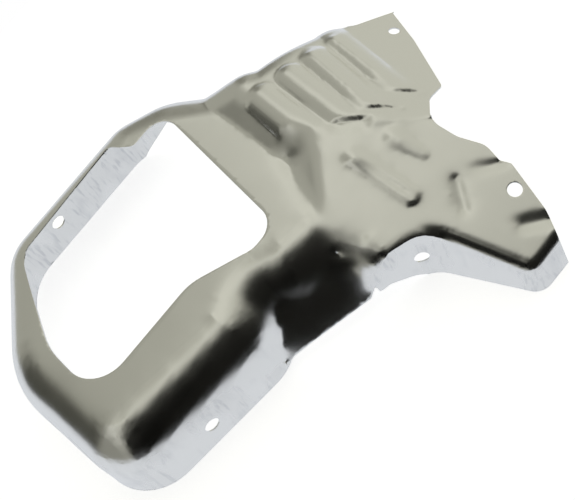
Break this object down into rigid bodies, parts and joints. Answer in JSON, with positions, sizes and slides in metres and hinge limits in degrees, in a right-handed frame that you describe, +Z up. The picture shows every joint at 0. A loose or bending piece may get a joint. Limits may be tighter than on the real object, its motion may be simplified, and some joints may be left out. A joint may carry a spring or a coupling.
{
  "type": "exhaust heat shield",
  "caption": "Pressed sheet heat shield with a windowed tray, a ribbed tunnel, a flanged lug and a pointed lobe, bolted over an engine's exhaust.",
  "frame": {"origin": "middle of the part's outline, on the plane of the skirts' lower edges that it rests on", "axes": "+X along the tray towards the ear, +Y to the tray's far skirt, +Z up out of the pressed face"},
  "size_m": [0.308, 0.2734, 0.0606],
  "materials": {
    "sheet": "satin aluminised, with draw marks on the skirts"
  },
  "bodies": {
    "root": {"heat_shield": "sheet"}
  },
  "joints": []
}
